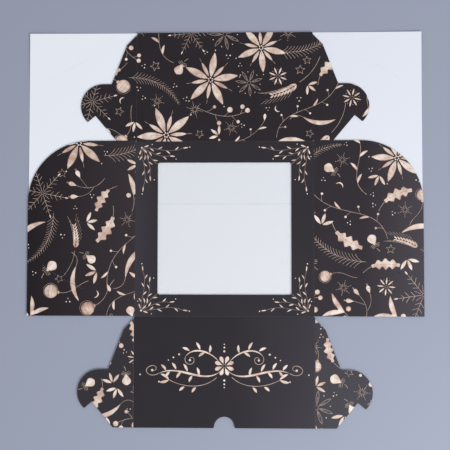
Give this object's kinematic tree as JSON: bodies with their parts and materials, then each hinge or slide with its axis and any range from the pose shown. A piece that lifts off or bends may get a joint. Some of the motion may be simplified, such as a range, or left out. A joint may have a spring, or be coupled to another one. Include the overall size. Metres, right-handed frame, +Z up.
{
  "type": "cupcake box",
  "caption": "Flat-packed cupcake box: a creased board blank with a film window, its tray half folded under its lid half, with hinged walls, flaps and locking ears.",
  "frame": {"origin": "centre of the flat-packed blank's bounding box in X and Y, on the surface that it lies on", "axes": "+X across the width, +Y towards the back crease, where the tray half folds under the lid half, +Z up from the surface"},
  "size_m": [0.361, 0.3606, 0.0017],
  "materials": {
    "board_patterned_print": "matte",
    "board_plain_print": "matte",
    "board_inside_up": "matte",
    "clear_film": "gloss"
  },
  "bodies": {
    "base_panel": {"base_panel": "board_inside_up"},
    "base_left_wall": {"base_left_wall": "board_inside_up"},
    "base_right_wall": {"base_right_wall": "board_inside_up"},
    "base_front_wall": {"base_front_wall": "board_inside_up"},
    "base_front_left_ear": {"base_front_left_ear": "board_inside_up"},
    "base_front_right_ear": {"base_front_right_ear": "board_inside_up"},
    "back_wall": {"back_wall": "board_patterned_print"},
    "back_left_ear": {"back_left_ear": "board_patterned_print"},
    "back_right_ear": {"back_right_ear": "board_patterned_print"},
    "lid_panel": {"lid_panel": "board_patterned_print", "window_film": "clear_film"},
    "lid_left_flap": {"lid_left_flap": "board_patterned_print"},
    "lid_right_flap": {"lid_right_flap": "board_patterned_print"},
    "lid_front_panel": {"lid_front_panel": "board_plain_print"},
    "lid_front_left_ear": {"lid_front_left_ear": "board_patterned_print"},
    "lid_front_right_ear": {"lid_front_right_ear": "board_patterned_print"}
  },
  "joints": [
    {"name": "back_crease", "type": "hinge", "parent": "base_panel", "child": "back_wall", "pos_m": [0, 0.18045, 0.00085], "axis": [-1, 0, 0], "range_deg": [0, 180]},
    {"name": "base_left_wall_crease", "type": "hinge", "parent": "base_panel", "child": "base_left_wall", "pos_m": [-0.08, 0.10145, 0.00045], "axis": [0, 1, 0], "range_deg": [0, 90]},
    {"name": "base_right_wall_crease", "type": "hinge", "parent": "base_panel", "child": "base_right_wall", "pos_m": [0.08, 0.10145, 0.00045], "axis": [0, -1, 0], "range_deg": [0, 90]},
    {"name": "base_front_wall_crease", "type": "hinge", "parent": "base_panel", "child": "base_front_wall", "pos_m": [0, 0.02245, 0.00045], "axis": [-1, 0, 0], "range_deg": [0, 90]},
    {"name": "base_front_left_ear_crease", "type": "hinge", "parent": "base_front_wall", "child": "base_front_left_ear", "pos_m": [-0.08075, 0.02245, 0.00045], "axis": [0, 1, 0], "range_deg": [0, 45]},
    {"name": "base_front_right_ear_crease", "type": "hinge", "parent": "base_front_wall", "child": "base_front_right_ear", "pos_m": [0.08075, 0.02245, 0.00045], "axis": [0, -1, 0], "range_deg": [0, 45]},
    {"name": "back_left_ear_crease", "type": "hinge", "parent": "back_wall", "child": "back_left_ear", "pos_m": [-0.08075, 0.18045, 0.00125], "axis": [0, -1, 0], "range_deg": [0, 90]},
    {"name": "back_right_ear_crease", "type": "hinge", "parent": "back_wall", "child": "back_right_ear", "pos_m": [0.08075, 0.18045, 0.00125], "axis": [0, 1, 0], "range_deg": [0, 90]},
    {"name": "lid_crease", "type": "hinge", "parent": "back_wall", "child": "lid_panel", "pos_m": [0, 0.0797, 0.0017], "axis": [-1, 0, 0], "range_deg": [0, 90]},
    {"name": "lid_left_flap_crease", "type": "hinge", "parent": "lid_panel", "child": "lid_left_flap", "pos_m": [-0.0815, 0.0797, 0.00125], "axis": [0, -1, 0], "range_deg": [0, 90]},
    {"name": "lid_right_flap_crease", "type": "hinge", "parent": "lid_panel", "child": "lid_right_flap", "pos_m": [0.0815, 0.0797, 0.00125], "axis": [0, 1, 0], "range_deg": [0, 90]},
    {"name": "lid_front_crease", "type": "hinge", "parent": "lid_panel", "child": "lid_front_panel", "pos_m": [0, -0.0803, 0.00125], "axis": [1, 0, 0], "range_deg": [0, 90]},
    {"name": "lid_front_left_ear_crease", "type": "hinge", "parent": "lid_front_panel", "child": "lid_front_left_ear", "pos_m": [-0.08225, -0.0803, 0.00125], "axis": [0, -1, 0], "range_deg": [0, 45]},
    {"name": "lid_front_right_ear_crease", "type": "hinge", "parent": "lid_front_panel", "child": "lid_front_right_ear", "pos_m": [0.08225, -0.0803, 0.00125], "axis": [0, 1, 0], "range_deg": [0, 45]}
  ],
  "couplings": [
    {"joint": "base_left_wall_crease", "follows": "back_crease", "ratio": 0.5},
    {"joint": "base_right_wall_crease", "follows": "back_crease", "ratio": 0.5},
    {"joint": "base_front_wall_crease", "follows": "back_crease", "ratio": 0.5},
    {"joint": "base_front_left_ear_crease", "follows": "back_crease", "ratio": 0.25},
    {"joint": "base_front_right_ear_crease", "follows": "back_crease", "ratio": 0.25},
    {"joint": "back_left_ear_crease", "follows": "back_crease", "ratio": 0.5},
    {"joint": "back_right_ear_crease", "follows": "back_crease", "ratio": 0.5},
    {"joint": "lid_left_flap_crease", "follows": "back_crease", "ratio": 0.5},
    {"joint": "lid_right_flap_crease", "follows": "back_crease", "ratio": 0.5},
    {"joint": "lid_front_crease", "follows": "back_crease", "ratio": 0.5},
    {"joint": "lid_front_left_ear_crease", "follows": "back_crease", "ratio": 0.25},
    {"joint": "lid_front_right_ear_crease", "follows": "back_crease", "ratio": 0.25}
  ]
}
